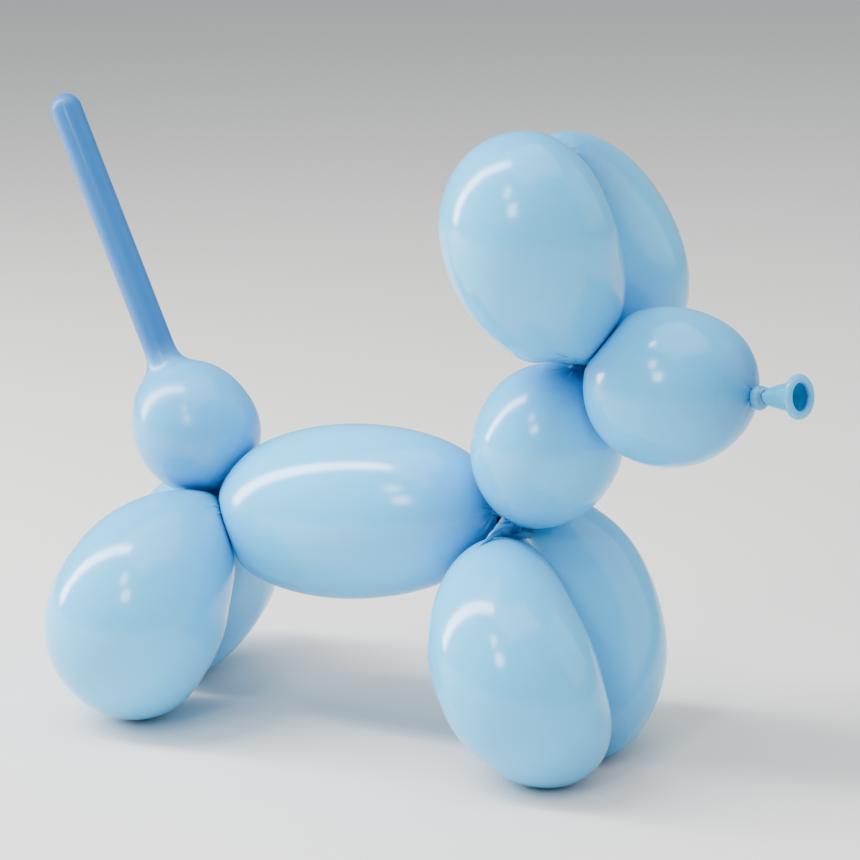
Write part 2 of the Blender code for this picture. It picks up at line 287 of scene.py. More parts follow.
# %% Swell and flatten
SWELLS = {
    "right_ear": (
        ((315, -20, 875), -1.5, 12),
        ((340, -25, 755), 1.2, 13),
        ((145, -205, 795), -0.8, 14),
        ((205, -122, 990), -0.8, 12),
        ((220, -85, 645), 0.9, 9),
        ((315, -55, 675), 1.5, 9),
        ((268, -75, 634), -2.8, 10),
        ((262, -35, 625), -2.6, 9),
        ((344, -58, 862), -1.2, 9),
        ((348, -30, 765), 0.6, 9),
        ((331, -6, 705), -0.8, 6),
        ((285, -87, 973), -0.5, 8),
    ),
    "left_ear": (((355, 180, 715), 0.6, 16), ((170, 150, 985), -0.5, 14)),
    "snout": (((510, 45, 680), 0.6, 12), ((510, 30, 535), -0.6, 12)),
    "neck": (((125, -55, 560), -0.9, 12),),
    "right_front_leg": (((125, -195, 115), -1.1, 12), ((215, -230, 55), -0.6, 12)),
    "left_front_leg": (((355, 130, 130), 0.7, 14), ((255, 175, 320), 0.8, 14)),
    "right_hind_leg": (
        ((-560, -205, 265), -1.0, 12),
        ((-525, -290, 115), 0.7, 12),
        ((-330, -95, 300), 1.8, 12),
        ((-375, -60, 338), 1.8, 9),
    ),
    "tail_bubble": (((-525, -35, 510), 1.1, 9), ((-395, 80, 505), -1.3, 9)),
}
for name, swells in SWELLS.items():
    globe = globes[name]
    for shares, height, spread in swells:
        way = place(shares) - globe.middle
        angle = np.arccos((globe.grid @ (way / np.linalg.norm(way))).clip(-1, 1))
        along_skin = angle * np.linalg.norm(way) * 1000
        globe.reach = globe.reach + height / 1000 * np.exp(-((along_skin / spread) ** 2))
print(sum(len(swells) for swells in SWELLS.values()), "swells")

# %% [markdown]
# ## Where bubbles press on each other
# Two full bubbles that touch don't pass through each other: they share a flat wall, and round
# its rim the two skins curve away and leave a narrow cleft. Along each ray the wall is where
# the ray is as deep in the one bubble as in the other. Its place is found by halving, and the
# skin stops there. A soft minimum rounds the rim, so that the cleft has the curved lips that
# catch the light on the real balloon.

# %% Find the wall between two bubbles
SEARCH_PAST = 1.4  # times a ray's own reach: a wall farther out than this can't matter
HALVINGS = 18
NO_WALL = 1.0  # in metres, so far off that nothing is pressed there


def wall(one, other):
    """How far along each of one's rays its wall with the other is, or NO_WALL."""

    def lead(distance):
        """Above 0 where a point on the ray is deeper in the other bubble than in this one."""
        points = one.middle + one.grid * distance[..., None]
        away = points - other.middle
        deep = np.linalg.norm(away, axis=-1)
        return distance / one.reach - deep / other.reach_along(away / deep[..., None])

    near, far = np.zeros_like(one.reach), one.reach * SEARCH_PAST
    meets = lead(far) > 0
    for _ in range(HALVINGS):
        half = (near + far) / 2
        beyond = lead(half) > 0
        near, far = np.where(beyond, near, half), np.where(beyond, half, far)
    return np.where(meets, near, NO_WALL)


met = (wall(globes["right_ear"], globes["left_ear"]) < NO_WALL).mean()
print("share of the right ear's rays that meet the left ear:", met.round(2))

# %% Flatten the contacts
RIM_ROUNDING = 0.0023
FLOOR_ROUNDING = 0.0006
SKIN_GAP = 0.00004  # left between two skins on each side of a wall
LEVEL = 0.05  # a ray that goes down less steeply than this never meets the floor


def soft_min(one, other, rounding):
    """The smaller of two distances, rounded where they are nearly the same."""
    near = (rounding - np.abs(one - other)).clip(0) / rounding
    return np.minimum(one, other) - near**2 * rounding / 4


pressed = {}
for name, globe in globes.items():
    reach = globe.reach.copy()
    for other_name, other in globes.items():
        apart = np.linalg.norm(globe.middle - other.middle)
        if other_name != name and apart < globe.reach.max() + other.reach.max():
            reach = soft_min(reach, wall(globe, other) - SKIN_GAP, RIM_ROUNDING)
    down = globe.grid[..., 2]
    to_floor = np.where(down < -LEVEL, globe.middle[2] / np.maximum(-down, LEVEL), NO_WALL)
    pressed[name] = soft_min(reach, to_floor, FLOOR_ROUNDING)
    deepest = (globe.reach - pressed[name]).max() * 1000
    print(name, "pressed in by up to", deepest.round(1), "mm")

# %% [markdown]
# ## Pleats at the twists
# Where a bubble ends, its skin is gathered into a cord thinner than a pencil, and the gathering
# runs back up the bubble as pleats that fan out and fade within a centimetre. The grid's
# meridians already run into the twist, so a ripple across them is a fan of pleats. Three
# ripples of different counts lie over one another. How strong each is and where it starts
# differ from twist to twist, and come from a seeded random generator that gives the same poodle
# each time.

# %% Gather the ends
chance = np.random.default_rng(7)
PLEAT_COUNTS = (7, 11, 17)
PLEAT_DEPTH = 0.00035
PLEAT_LENGTH = 0.0055
PLEAT_START = 0.0012  # nearer to the twist's middle than this the pleats run together
DRAWN_OUT = 0.0016  # how far a bubble's end is drawn out into its twist
DRAWN_WIDTH = 0.0016


def pleats(globe, reach, end, depth):
    """What the gathering at one twist adds to the reach."""
    angle = np.arccos((globe.grid @ globe.poles[end]).clip(-1, 1))
    away = angle * globe.reach[-end].mean()
    ripple = np.zeros_like(reach)
    for count in PLEAT_COUNTS:
        strength, phase = chance.uniform(0.5, 1.0), chance.uniform(0, math.tau)
        ripple += strength * np.cos(count * PHI + phase)
    fade = np.exp(-((away / PLEAT_LENGTH) ** 2))
    start = 1 - np.exp(-((away / PLEAT_START) ** 2))
    return depth * ripple * fade * start + DRAWN_OUT * np.exp(-away / DRAWN_WIDTH)


gathered = {}
for name, globe in globes.items():
    reach = pressed[name] + pleats(globe, pressed[name], 0, PLEAT_DEPTH)
    if name != "tail_bubble":
        depth = PLEAT_DEPTH / 2 if name in ("snout", "neck") else PLEAT_DEPTH
        reach = reach + pleats(globe, pressed[name], 1, depth)
    gathered[name] = reach
print("pleats cut into", len(gathered), "bubbles")

# %% [markdown]
# ## Where the skin is slack, and the painted shade round the twists
# A twister leaves some skin unblown round each twist, so that it doesn't burst, and there the
# latex is thicker and bluer. The twists also lie deep in the clefts between bubbles, and the
# same deep blue stands in for their shade, so this blue is partly the latex's own colour and
# partly painted shade. Painting it by hand would be one way. Here it is a number for each point,
# 0 where the skin is taut and 1 where it is quite slack, that fades with the distance from a
# twist. The near ear, the near hind leg and the tail bubble get a wider fade at their first
# twist, which spreads the deep blue over more of them.

# %% Tell how slack the skin is, with the painted shade of the clefts
# the deep blue round each twist is partly thicker latex and partly painted shade of the clefts
SLACK_AND_SHADE_SPREAD = 0.019
WIDE_SLACK_AND_SHADE = {"right_ear": 0.031, "right_hind_leg": 0.031, "tail_bubble": 0.033}
# this cap also holds the painted shade of the clefts below the tail's slack
TWIST_SLACK_AND_SHADE = 0.8  # at a twist the skin is less slack than in the tail
SLACK_AND_SHADE_FALL = 1.3  # 1 fades evenly, more keeps the blue together and then fades faster


def twist_slack_and_shade(name, end):
    """Slack skin and painted cleft shade near one of the twists, falling to 0 where the skin is
    taut.
    """
    globe = globes[name]
    angle = np.arccos((globe.grid @ globe.poles[end]).clip(-1, 1))
    spread = WIDE_SLACK_AND_SHADE.get(name, SLACK_AND_SHADE_SPREAD) if end == 0 else SLACK_AND_SHADE_SPREAD
    return TWIST_SLACK_AND_SHADE * np.exp(-((angle * globe.reach[-end].mean() / spread) ** SLACK_AND_SHADE_FALL))


print("mean slack of the snout's skin:", twist_slack_and_shade("snout", 0).mean().round(2))

# %% [markdown]
# ## Collecting the skin
# Every form but the knot's rolls is a stack of rings with the same number of sides, closed at
# each end by a single point. One helper turns such a stack into points and faces and adds them
# to a shared list, with the slack of each point beside it, a number that also carries the
# painted shade.

# %% A helper for stacks of rings
skin = {"points": [], "faces": [], "slack_and_shade": []}


def add_stack(first, rings, last, slack_and_shade):
    """Add a stack of rings, given as (row, side, xyz), between its first and last points."""
    rows, sides = rings.shape[:2]
    base = len(skin["points"])
    skin["points"] += [tuple(p) for p in rings.reshape(-1, 3)]
    skin["slack_and_shade"] += [float(s) for s in np.broadcast_to(slack_and_shade, (rows, sides)).reshape(-1)]
    faces = skin["faces"]
    for row in range(rows - 1):
        for side in range(sides):
            a, b = base + row * sides + side, base + row * sides + (side + 1) % sides
            faces.append((a, b, b + sides, a + sides))
    for point, row, flip in ((first, 0, True), (last, rows - 1, False)):
        tip = len(skin["points"])
        skin["points"].append(tuple(point))
        skin["slack_and_shade"].append(float(np.broadcast_to(slack_and_shade, (rows, sides))[row].mean()))
        for side in range(sides):
            a, b = base + row * sides + side, base + row * sides + (side + 1) % sides
            faces.append((b, a, tip) if flip else (a, b, tip))


# %% Add nine of the bubbles
for name, globe in globes.items():
    if name == "tail_bubble":
        continue
    points = globe.middle + globe.grid * gathered[name][..., None]
    # slack near both twists, with the painted shade of the clefts there
    slack_and_shade = np.maximum(twist_slack_and_shade(name, 0), twist_slack_and_shade(name, 1))
    add_stack(points[0, 0], points[1:-1], points[-1, 0], slack_and_shade[1:-1])
print(len(skin["faces"]), "faces in nine bubbles")

# %% [markdown]
# ## The tail
# The tail is the last of the balloon, which the air never reached, so it is as narrow as the
# balloon was in its bag. It isn't stuck on: the same skin widens from the tube into the bubble
# in one curve. A pole of the bubble's grid is cut away, and each meridian is led on by a Bezier
# curve into the tube.

# %% Cut the bubble's end open
TAIL_WIDTH = 0.0108
TAIL_LEAN = 24.4
TAIL_OPENING = 0.0120  # the skin leaves the bubble's own form this far from its end
TAIL_SHOULDER = 0.0085  # and is a plain tube from this height above it

tail_globe = globes["tail_bubble"]
tail_root = place(POSE["tail_bubble"].end)
lean = math.radians(TAIL_LEAN)
tail_up = np.array((-math.sin(lean), 0.0, math.cos(lean)))
grid_points = tail_globe.middle + tail_globe.grid * gathered["tail_bubble"][..., None]
away = np.linalg.norm(grid_points - grid_points[-1, 0], axis=-1).mean(1)
cut = int(np.argmax(away < TAIL_OPENING))
rim = grid_points[cut]
run = rim - grid_points[cut - 1]
run /= np.linalg.norm(run, axis=1, keepdims=True)
out = rim - tail_root
out -= tail_up * (out @ tail_up)[:, None]
out /= np.linalg.norm(out, axis=1, keepdims=True)
tube_start = tail_root + tail_up * TAIL_SHOULDER + out * TAIL_WIDTH / 2
print("cut at parallel", cut, "of", ROWS)

# %% Lead the skin into the tube
TAIL_LENGTH = 0.100
TAIL_PULL = 0.0062  # how far the curve keeps its way at either end
TAIL_BUBBLE_SLACK = 0.34  # the last bubble holds less air than the others
CURVE_RINGS, TUBE_RINGS, TIP_RINGS = 14, 24, 9

t = np.linspace(0, 1, CURVE_RINGS + 1)[1:, None, None]
pull_in, pull_up = rim + run * TAIL_PULL, tube_start - tail_up * TAIL_PULL
curve = rim * (1 - t) ** 3 + pull_in * 3 * t * (1 - t) ** 2
curve = curve + pull_up * 3 * t**2 * (1 - t) + tube_start * t**3
heights = np.linspace(TAIL_SHOULDER, TAIL_LENGTH - TAIL_WIDTH / 2, TUBE_RINGS + 1)[1:]
tube = tail_root + tail_up * heights[:, None, None] + out * TAIL_WIDTH / 2
turn = np.linspace(0, math.pi / 2, TIP_RINGS + 2)[1:-1, None, None]
tip_middle = tail_root + tail_up * (TAIL_LENGTH - TAIL_WIDTH / 2)
tip = tip_middle + (tail_up * np.sin(turn) + out * np.cos(turn)) * TAIL_WIDTH / 2
tail_rings = np.concatenate([grid_points[1 : cut + 1], curve, tube, tip])
# slack of the tail bubble and the tail, with painted shade near the bubble's first twist
slack_and_shade = np.concatenate(
    [
        np.maximum(twist_slack_and_shade("tail_bubble", 0), TAIL_BUBBLE_SLACK)[1 : cut + 1],
        np.repeat(np.linspace(TAIL_BUBBLE_SLACK, 1, CURVE_RINGS)[:, None], SIDES, 1),
        np.ones((TUBE_RINGS + TIP_RINGS, SIDES)),
    ]
)
add_stack(grid_points[0, 0], tail_rings, tail_root + tail_up * TAIL_LENGTH, slack_and_shade)
print("tail of", round(TAIL_LENGTH * 1000), "mm in", len(tail_rings), "rings")

# %% [markdown]
# ## The twists' cords
# At a twist the skin is wrung into a short cord like a wrung cloth, with ridges that wind round
# it. It is swept from inside one bubble to inside the next, and its section is a circle with
# three lobes that turn as it goes.

# %% A helper for wrung cords
ROUTE_SMOOTHINGS = 3
ASKEW = (0.31, 0.82, 0.48)  # a direction that none of the cords runs in


def cord(route, widths, lobes=3, winds=1.0, depth=0.12, sides=24, steps=30, slack_and_shade=(1.0, 1.0)):
    """A wrung cord along a route, with its width at each of the route's points."""
    route, widths = np.array(route, float), np.array(widths, float)
    length = np.concatenate([[0], np.cumsum(np.linalg.norm(np.diff(route, axis=0), axis=1))])
    where = np.linspace(0, length[-1], steps)
    line = np.stack([np.interp(where, length, route[:, k]) for k in range(3)], 1)
    for _ in range(ROUTE_SMOOTHINGS):
        line[1:-1] = line[1:-1] * 0.5 + (line[:-2] + line[2:]) * 0.25
    radius = np.interp(where, length, widths) / 2
    along = np.gradient(line, axis=0)
    along /= np.linalg.norm(along, axis=1, keepdims=True)
    side = np.cross(along, ASKEW)
    side /= np.linalg.norm(side, axis=1, keepdims=True)
    other = np.cross(along, side)
    turn = np.linspace(0, math.tau, sides, endpoint=False)
    share = np.linspace(0, 1, steps)[:, None]
    lobed = 1 + depth * np.cos(lobes * (turn[None] + share * winds * math.tau))
    turn = turn[None, :, None]
    ring = np.cos(turn) * side[:, None] + np.sin(turn) * other[:, None]
    rings = line[:, None] + radius[:, None, None] * lobed[..., None] * ring
    add_stack(line[0], rings, line[-1], np.linspace(*slack_and_shade, steps)[:, None])


# %% Wring the nine twists
TWIST_WIDTH = 0.0046
TWIST_REACH = 0.005  # how far a cord runs on inside each of its two bubbles
SAME_PLACE = 1e-6
TWISTS = (
    ("snout", "start", "right_ear", "start"),
    ("right_ear", "end", "left_ear", "end"),
    ("left_ear", "start", "neck", "end"),
    ("neck", "start", "right_front_leg", "start"),
    ("right_front_leg", "end", "left_front_leg", "end"),
    ("left_front_leg", "start", "body", "end"),
    ("body", "start", "right_hind_leg", "start"),
    ("right_hind_leg", "end", "left_hind_leg", "end"),
    ("left_hind_leg", "start", "tail_bubble", "start"),
)


def inward(bubble, which):
    """The direction in which a bubble leaves one of its two twists."""
    near, far = bubble.start, bubble.end
    if which == "end":
        near, far = far, near
    way = place(bubble.bend or far) - place(near)
    return way / np.linalg.norm(way)


for first, first_end, second, second_end in TWISTS:
    one, two = place(getattr(POSE[first], first_end)), place(getattr(POSE[second], second_end))
    route = [one + inward(POSE[first], first_end) * TWIST_REACH, one]
    if np.linalg.norm(two - one) > SAME_PLACE:
        route.append(two)
    route.append(two + inward(POSE[second], second_end) * TWIST_REACH)
    cord(route, [TWIST_WIDTH] * len(route))
print(len(TWISTS), "twists")

# %% [markdown]
# ## The gathered skin at the front twist
# The neck, the body and both front legs meet at the front twist, and the skin left between them
# stands out towards the near leg as a small rope, which thins out down over the leg. A single
# strand with grooves would look like a tube, so three are wound about each other, and each
# swells and narrows as it goes. On the other side the far leg's end shows as a cone of fine
# pleats that sinks into the leg little by little.

# %% Wind the strands
FRONT_GATHER = (
    ((172, -15, 384), 1.0),
    ((160, -48, 378), 1.0),
    ((152, -57, 368), 0.9),
    ((149, -71, 360), 0.6),
    ((144, -87, 351), 0.45),
    ((138, -102, 343), 0.25),
)
GATHER_WIDTH = 0.0036
STRANDS = 3
STRAND_WIDTH = 0.54  # of the bundle's own width
STRAND_ASIDE = 0.28  # of the bundle's width too: how far a strand lies from its middle
STRAND_TURN = 1.4  # how far the strands wind about each other from one point to the next
STRAND_LUMPS = (0.75, 1.2)  # narrow and wide places, in turn
ACROSS, UPWARDS = np.array((0.6, -0.4, 0.0)), np.array((0.0, 0.0, 1.0))  # the bundle's two ways
for strand in range(STRANDS):
    route, widths = [], []
    for step, (shares, share) in enumerate(FRONT_GATHER):
        phase = strand * math.tau / STRANDS + step * STRAND_TURN
        aside = ACROSS * math.cos(phase) + UPWARDS * math.sin(phase)
        route.append(place(shares) + aside * GATHER_WIDTH * STRAND_ASIDE * share)
        lump = STRAND_LUMPS[(step + strand) % len(STRAND_LUMPS)]
        widths.append(GATHER_WIDTH * STRAND_WIDTH * share * lump)
    cord(route, widths, lobes=4, winds=2.2, depth=0.17, sides=20, steps=44, slack_and_shade=(1.0, 0.75))
print(STRANDS, "strands")

# %% Sink the far leg's end into the leg
FAR_LEG_CONE = (
    ((126, -8, 352), 0.0022),
    ((138, -1, 351), 0.0038),
    ((151, 10, 348), 0.0052),
    ((168, 21, 342), 0.0062),
    ((184, 36, 334), 0.0062),
    ((200, 54, 322), 0.0052),
)
route = [place(shares) for shares, _ in FAR_LEG_CONE]
widths = [width for _, width in FAR_LEG_CONE]
cord(route, widths, lobes=11, winds=0.15, depth=0.03, sides=88, slack_and_shade=(0.95, 0.6))
print("a cone up to", round(max(widths) * 1000, 1), "mm wide")

# %% [markdown]
# ## Creases near the twists
# On the near hind leg and on the near ear the gathering shows as fine ridges with creases
# between them. They are finer than the bubble's own grid, so each is a thin thread of skin laid
# along the bubble, half sunk in it, and it runs out to nothing.

# %% Lay the ridges
RIDGE_WIDTH = 0.0011
RIDGE_TAPER = 0.75  # the share of its width that a ridge loses on the way
RIDGE_SINK = 0.15  # of its width: how deep its middle lies by the twist, and twice that at its end
RIDGE_STEPS = np.linspace(0, 1, 7)
EXTRA_SLACK = 0.3  # at the end by the twist


def on_skin(name, shares, lift):
    """The point over a bubble's skin that lies out from its middle towards a point of the pose."""
    globe = globes[name]
    way = place(shares) - globe.middle
    way /= np.linalg.norm(way)
    return globe.middle + way * (globe.reach_along(way, gathered[name]) + lift)


RIDGES = (
    ("right_hind_leg", (-372, -62, 341), (-385, -78, 351), 0.35),
    ("right_hind_leg", (-366, -70, 334), (-374, -98, 348), 0.35),
    ("right_hind_leg", (-361, -76, 326), (-358, -108, 337), 0.35),
    ("right_hind_leg", (-356, -82, 317), (-345, -110, 324), 0.35),
    ("right_ear", (296, -76, 643), (262, -112, 650), 0.3),
    ("right_ear", (297, -84, 648), (270, -116, 654), 0.25),
    ("right_ear", (292, -105, 656), (284, -138, 675), 0.25),
)
for name, near, far, slack_and_shade in RIDGES:
    near, far = np.array(near), np.array(far)
    route = [
        on_skin(name, near * (1 - t) + far * t, -RIDGE_WIDTH * RIDGE_SINK * (1 + t))
        for t in RIDGE_STEPS
    ]
    widths = RIDGE_WIDTH * (1 - RIDGE_TAPER * RIDGE_STEPS)
    cord(route, widths, depth=0.0, sides=12, steps=24, slack_and_shade=(slack_and_shade + EXTRA_SLACK, slack_and_shade))
print(len(RIDGES), "ridges")

# %% [markdown]
# ## The nozzle
# In front of the knot stands the nozzle, a small trumpet of thick slack latex that ends in the
# rolled lip. It is turned like a vase: a profile of distances from the nozzle's axis and
# heights along it is spun round, from behind the knot up the outside, round the lip and down
# the inside to the bottom of the mouth. Inside it is dark, as little light gets down into the
# deep mouth, so that shade is painted there: its slack is set to 1 inside, and fades back to
# the outside's over the lip's inner side.

# %% Set up the nozzle's axis
KNOT_ROLL = 0.0040
NOZZLE_LENGTH = 0.0130
NOZZLE_NECK = 0.0034
NOZZLE_BELL = 0.0104
NOZZLE_TRUMPET = 0.6  # 1 makes the nozzle a plain cone, more a trumpet, less a cup
NOZZLE_WALL = 0.0006
NOZZLE_RISE = 8.5
NOZZLE_TURN = -14.0

nozzle_axis = (
    Matrix.Translation(Vector(place(NECK_OF_BALLOON)))
    @ Matrix.Rotation(math.radians(NOZZLE_TURN), 4, "Z")
    @ Matrix.Rotation(math.pi / 2 - math.radians(NOZZLE_RISE), 4, "Y")
)


def set_out(rings, matrix):
    """Points given about the nozzle's axis, in the frame of the solid."""
    turned = np.array(matrix)
    return rings @ turned[:3, :3].T + turned[:3, 3]


def nozzle_radius(along):
    """The cone's outer radius at a distance from the knot."""
    share = np.clip(along / NOZZLE_LENGTH, 0, 1)
    return NOZZLE_NECK / 2 + (NOZZLE_BELL - NOZZLE_NECK) / 2 * share**NOZZLE_TRUMPET


print("the nozzle is", round(NOZZLE_BELL * 1000, 1), "mm wide under its lip")

# %% Draw its profile
LIP_WIDTH = 0.0142
LIP_BEAD = 0.0029
LIP_ROOT = 0.0012  # the cone ends this far below the lip's middle
MOUTH_DEPTH = 0.0080
NOZZLE_SLACK = 0.24  # the nozzle was dipped thick and was never stretched
# over these rings of the lip's inner side the painted shade fades out
SHADED_RINGS = 9  # of the lip, from the inside's slack to the outside's
CLOSED = 1e-5  # the radius of a ring that closes the form

bead, lip = LIP_BEAD / 2, KNOT_ROLL + NOZZLE_LENGTH
lip_ring = LIP_WIDTH / 2 - bead
inside = [(CLOSED, lip - MOUTH_DEPTH)]
for along in np.linspace(NOZZLE_LENGTH - MOUTH_DEPTH, NOZZLE_LENGTH - LIP_ROOT, 10):
    inside.append((nozzle_radius(along) - NOZZLE_WALL, KNOT_ROLL + along))
rolled = []
for angle in np.radians(np.linspace(200, -20, 21)):
    rolled.append((lip_ring + bead * math.cos(angle), lip + bead * math.sin(angle)))
outside = []
for along in np.linspace(NOZZLE_LENGTH - LIP_ROOT, 0, 14):
    outside.append((nozzle_radius(along), KNOT_ROLL + along))
outside += [(NOZZLE_NECK / 2, KNOT_ROLL / 2), (CLOSED, KNOT_ROLL / 2)]
profile = np.array(inside + rolled + outside)[::-1]
# slack along the profile: painted shade inside the mouth and on the lip's inner side
nozzle_slack_and_shade = np.full(len(profile), NOZZLE_SLACK)
nozzle_slack_and_shade[: len(inside)] = 1.0
nozzle_slack_and_shade[len(inside) : len(inside) + SHADED_RINGS] = np.linspace(1.0, NOZZLE_SLACK, SHADED_RINGS)
nozzle_slack_and_shade = nozzle_slack_and_shade[::-1]
print(len(profile), "rings from the knot to the bottom of the mouth")

# %% Turn and crumple it
NOZZLE_SIDES = 64
FOLDS = ((0.13, 4.3, 0.32), (-0.24, 3.75, 0.22))  # depth, place and width, round the cone
WAVES = 0.03


def crumple(height, turn):
    """Soft folds in the slack cone, none at the lip."""
    share = np.clip((lip - height) / NOZZLE_LENGTH, 0, 1)
    fold = sum(depth * np.exp(-(((turn - where) / width) ** 2)) for depth, where, width in FOLDS)
    waves = WAVES * np.cos(3 * turn + 1.0)
    return 1 + (fold + waves) * np.sin(share * math.pi * 0.5)


turn = np.linspace(0, math.tau, NOZZLE_SIDES, endpoint=False)
heights = profile[:, 1:2]
radius = profile[:, :1] * np.ones(NOZZLE_SIDES) * crumple(heights, turn[None])
rings = [radius * np.cos(turn), radius * np.sin(turn), np.repeat(heights, NOZZLE_SIDES, 1)]
rings = set_out(np.stack(rings, -1), nozzle_axis)
add_stack(rings[0].mean(0), rings, rings[-1].mean(0), nozzle_slack_and_shade[:, None])
print("lip, mm:", round(LIP_WIDTH * 1000, 1), "wide; mouth", round(MOUTH_DEPTH * 1000, 1), "deep")

# %% [markdown]
# ## The knot
# The balloon is tied off with its own end: the neck is pulled through a loop and leaves one fat
# roll and a thinner one aslant on it. Each is a ring of rolled skin, with creases that run
# round the roll and are deeper on one side. A short cord leads from the snout through both.

# %% Roll the knot
KNOT_WIDTH = 0.0078
KNOT_SAG = 0.0003  # how far the fat roll hangs below the nozzle's axis
KNOT_LOOP_WIDTH = 0.0061
KNOT_LOOP_ROLL = 0.0022
KNOT_LOOP_SLANT = 24.0
KNOT_CORD_END = 0.001  # how far the cord runs on past the knot
KNOT_SLACK = 0.6
ROLL_ROWS, ROLL_SIDES = 48, 72
CREASES = 6
CREASE_NARROWNESS = 8
CREASE_DEPTH = 0.07
UNEVENNESS = 0.03


def roll_of_skin(matrix, width, thickness, phase):
    """A ring of rolled skin, with creases along it and a thickness that isn't quite even."""
    around = np.linspace(0, math.tau, ROLL_SIDES, endpoint=False)[None]
    tube = np.linspace(0, math.tau, ROLL_ROWS, endpoint=False)[:, None]
    big, small = (width - thickness) / 2, thickness / 2
    crease = np.cos(CREASES * tube + 1.2 * np.cos(around * 2 + phase)) ** CREASE_NARROWNESS
    one_sided = 0.5 + 0.5 * np.cos(around + phase)
    uneven = UNEVENNESS * np.cos(3 * around + phase)
    small = small * (1 + uneven - CREASE_DEPTH * crease * one_sided)
    reach = big + small * np.cos(tube)
    rings = np.stack([reach * np.cos(around), reach * np.sin(around), small * np.sin(tube)], -1)
    rings = set_out(rings, matrix)
    base = len(skin["points"])
    skin["points"] += [tuple(p) for p in rings.reshape(-1, 3)]
    skin["slack_and_shade"] += [KNOT_SLACK] * (ROLL_ROWS * ROLL_SIDES)
    for row in range(ROLL_ROWS):
        for side in range(ROLL_SIDES):
            here, above = base + row * ROLL_SIDES, base + (row + 1) % ROLL_ROWS * ROLL_SIDES
            beside = (side + 1) % ROLL_SIDES
            skin["faces"].append((here + side, here + beside, above + beside, above + side))


lower = Matrix.Translation((KNOT_SAG, 0, KNOT_ROLL / 2))
roll_of_skin(nozzle_axis @ lower, KNOT_WIDTH, KNOT_ROLL, 0.4)
slant = Matrix.Rotation(math.radians(KNOT_LOOP_SLANT), 4, "X")
upper = nozzle_axis @ Matrix.Translation((0, 0, KNOT_ROLL)) @ slant
roll_of_skin(upper, KNOT_LOOP_WIDTH, KNOT_LOOP_ROLL, 2.1)
knot_root = np.array(nozzle_axis.translation)
forward = np.array(nozzle_axis.to_3x3() @ Vector((0, 0, 1)))
cord_end = knot_root + forward * (KNOT_ROLL + KNOT_CORD_END)
route = [knot_root - forward * TWIST_REACH, knot_root, cord_end]
cord(route, [TWIST_WIDTH] * len(route))
print("knot's rolls, mm wide:", round(KNOT_WIDTH * 1000, 1), round(KNOT_LOOP_WIDTH * 1000, 1))

# %% [markdown]
# ## Latex
# Modelling latex is dyed all through. Blown taut it is thin, pale, glossy and a little milky.
# Where it is slack or gathered the same dye lies thicker, so the blue is deep, and the skin is
# matt. The same deep blue is also painted as shade in the clefts by the twists and inside the
# nozzle's mouth. What is the same all over is set on the shader itself: light goes a few
# millimetres into the skin, and a weak clear coat keeps the highlights soft.

# %% Set what is the same all over
latex = bpy.data.materials.new("pale blue latex")
latex.use_nodes = True
nodes, links = latex.node_tree.nodes, latex.node_tree.links
shader = nodes["Principled BSDF"]
shader.inputs["IOR"].default_value = 1.5
shader.inputs["Subsurface Weight"].default_value = 0.35
shader.inputs["Subsurface Radius"].default_value = (0.4, 0.8, 1.0)
shader.inputs["Subsurface Scale"].default_value = 0.006
shader.inputs["Coat Weight"].default_value = 0.15
shader.inputs["Coat Roughness"].default_value = 0.12
print("made the", latex.name)

# %% [markdown]
# ## Pale where taut, deep where slack or in painted shade
# The slack number of each point, which also carries the painted shade round the twists and in
# the nozzle, reaches the material as an attribute. It mixes the two blues and raises the
# roughness. A very faint cloudiness is added to it, because a plain blue without any change
# looks like paint.

# %% Mix the blues
TAUT_BLUE = (0.090, 0.585, 1.0, 1.0)
# the deep blue of slack latex, also used as painted shade in the clefts and the nozzle's mouth
SLACK_AND_SHADE_BLUE = (0.00, 0.145, 0.42, 1.0)
CLOUDINESS = 0.08  # of the way from the one blue to the other

# reads the slack number, which also carries the painted shade
slack_and_shade_node = nodes.new("ShaderNodeAttribute")
slack_and_shade_node.attribute_name = "slack_and_shade"
cloud = nodes.new("ShaderNodeTexNoise")
cloud.inputs["Scale"].default_value = 55.0
cloud.inputs["Detail"].default_value = 3.0
spread = nodes.new("ShaderNodeMath")
spread.operation = "MULTIPLY_ADD"
spread.inputs[1].default_value = CLOUDINESS
spread.inputs[2].default_value = -CLOUDINESS / 2
add = nodes.new("ShaderNodeMath")
add.use_clamp = True
mix = nodes.new("ShaderNodeMix")
mix.data_type = "RGBA"
mix.inputs["A"].default_value = TAUT_BLUE
mix.inputs["B"].default_value = SLACK_AND_SHADE_BLUE
links.new(cloud.outputs["Fac"], spread.inputs[0])
links.new(slack_and_shade_node.outputs["Fac"], add.inputs[0])
links.new(spread.outputs[0], add.inputs[1])
links.new(add.outputs[0], mix.inputs["Factor"])
links.new(mix.outputs["Result"], shader.inputs["Base Color"])
print("latex mixed from", TAUT_BLUE[:3], "to", SLACK_AND_SHADE_BLUE[:3])

# %% Dull the slack skin
TAUT_ROUGHNESS = 0.16
SLACK_ROUGHNESS = 0.48

dulled = nodes.new("ShaderNodeMath")
dulled.operation = "MULTIPLY_ADD"
dulled.inputs[1].default_value = SLACK_ROUGHNESS - TAUT_ROUGHNESS
dulled.inputs[2].default_value = TAUT_ROUGHNESS
links.new(slack_and_shade_node.outputs["Fac"], dulled.inputs[0])
links.new(dulled.outputs[0], shader.inputs["Roughness"])
print("roughness from", TAUT_ROUGHNESS, "to", SLACK_ROUGHNESS)

# %% [markdown]
# ## One skin
# All the forms become one mesh, because the balloon is one piece of latex. It takes the solid's
# place.

